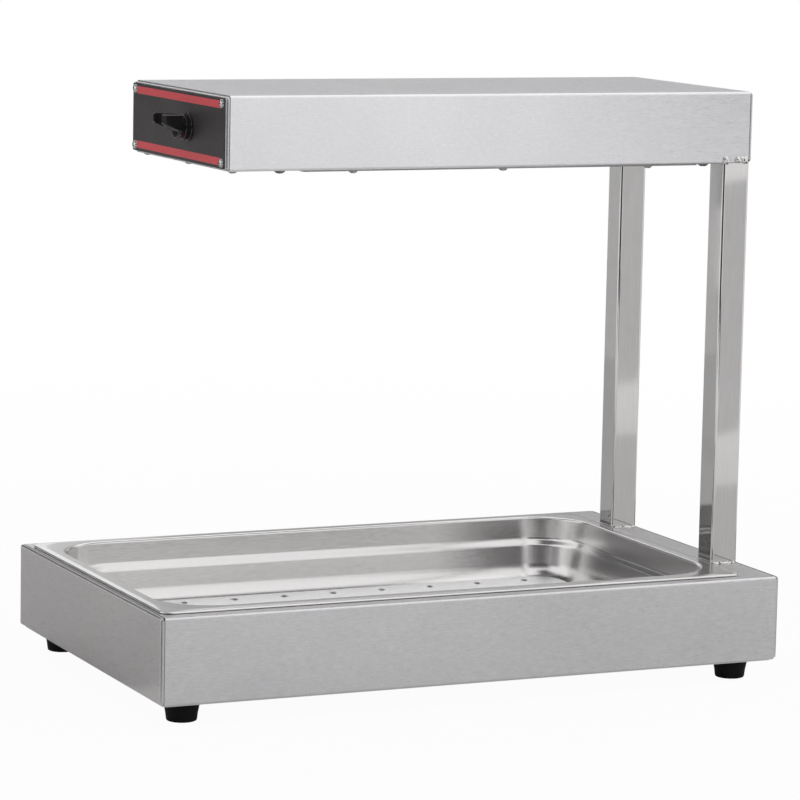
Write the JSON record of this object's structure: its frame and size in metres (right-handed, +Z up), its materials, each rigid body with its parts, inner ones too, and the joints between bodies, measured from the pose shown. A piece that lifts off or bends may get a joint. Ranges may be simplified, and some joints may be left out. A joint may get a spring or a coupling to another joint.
{
  "type": "fry warmer",
  "caption": "Counter-top fry warmer: a folded steel base with a lift-out pan and a perforated drain plate, under a heated hood with a knob, carried on square posts.",
  "frame": {"origin": "on the counter under the middle of the base", "axes": "+X right seen from the knob end, +Y from the knob end to the posts, +Z up"},
  "size_m": [0.35, 0.566, 0.502],
  "materials": {
    "brushed_stainless": "brushed, fine straight grain",
    "post_stainless": "brushed along the tube",
    "weld_steel": "bare weld",
    "pan_stainless": "satin polished",
    "bright_fastener": "bright plated",
    "dark_fastener": "blackened",
    "foot_rubber": "matt",
    "grommet_rubber": "matt",
    "fascia_paint": "satin black",
    "knob_plastic": "semi-gloss black",
    "switch_plastic": "moulded black",
    "inner_steel": "mill finish",
    "reflector_aluminium": "bright rolled",
    "guard_steel": "satin",
    "element_sheath": "heat-stained",
    "brass": "plain",
    "plated_steel": "plated",
    "ceramic": "unglazed",
    "wire_brown": "silicone sleeve",
    "wire_blue": "silicone sleeve",
    "wire_green": "silicone sleeve"
  },
  "bodies": {
    "frame": {"base_shell": "brushed_stainless", "base_front_panel": "brushed_stainless", "base_rear_panel": "brushed_stainless", "base_bottom_plate": "brushed_stainless", "hood_shell": "brushed_stainless", "hood_front_cap": "brushed_stainless", "hood_rear_cap": "brushed_stainless", "control_cover": "brushed_stainless", "rear_cover": "brushed_stainless", "post_left": "post_stainless", "post_right": "post_stainless", "post_weld_beads": "weld_steel", "plug_welds": "weld_steel", "bottom_plate_screws": "bright_fastener", "foot_screws": "bright_fastener", "foot_washers": "bright_fastener", "foot_nuts": "bright_fastener", "front_cap_screws": "bright_fastener", "fascia_screws": "bright_fastener", "cover_screws": "bright_fastener", "guard_screws": "bright_fastener", "guard_nuts": "bright_fastener", "bulkhead_nuts": "bright_fastener", "bulkhead_screws": "dark_fastener", "foot_front_left": "foot_rubber", "foot_rear_left": "foot_rubber", "foot_front_right": "foot_rubber", "foot_rear_right": "foot_rubber", "wire_grommets": "grommet_rubber", "control_fascia": "fascia_paint", "rotary_switch": "switch_plastic", "cord_gland": "switch_plastic", "gland_locknut": "switch_plastic", "front_bulkhead": "inner_steel", "rear_bulkhead": "inner_steel", "element_support": "inner_steel", "reflector": "reflector_aluminium", "guard_frame": "guard_steel", "guard_bars": "guard_steel", "heating_element": "element_sheath", "element_bushings": "brass", "element_nuts": "brass", "terminal_screws": "brass", "earth_stud": "brass", "earth_nut": "brass", "switch_nut": "plated_steel", "element_pins": "plated_steel", "element_insulators": "ceramic", "terminal_block": "ceramic", "wire_live": "wire_brown", "wire_switched": "wire_brown", "wire_neutral": "wire_blue", "wire_earth": "wire_green"},
    "knob": {"knob": "knob_plastic", "switch_shaft": "plated_steel"},
    "pan": {"gn_pan": "pan_stainless"},
    "drain_plate": {"drain_plate": "pan_stainless"}
  },
  "joints": [
    {"name": "knob_turn", "type": "hinge", "parent": "frame", "child": "knob", "pos_m": [0.026, -0.207, 0.47125], "axis": [0, 1, 0], "range_deg": [0, 90]},
    {"name": "pan_lift", "type": "slide", "parent": "frame", "child": "pan", "axis": [0, 0, 1], "range_m": [0, 0.15]},
    {"name": "drain_plate_lift", "type": "slide", "parent": "pan", "child": "drain_plate", "axis": [0, 0, 1], "range_m": [0, 0.12]}
  ]
}
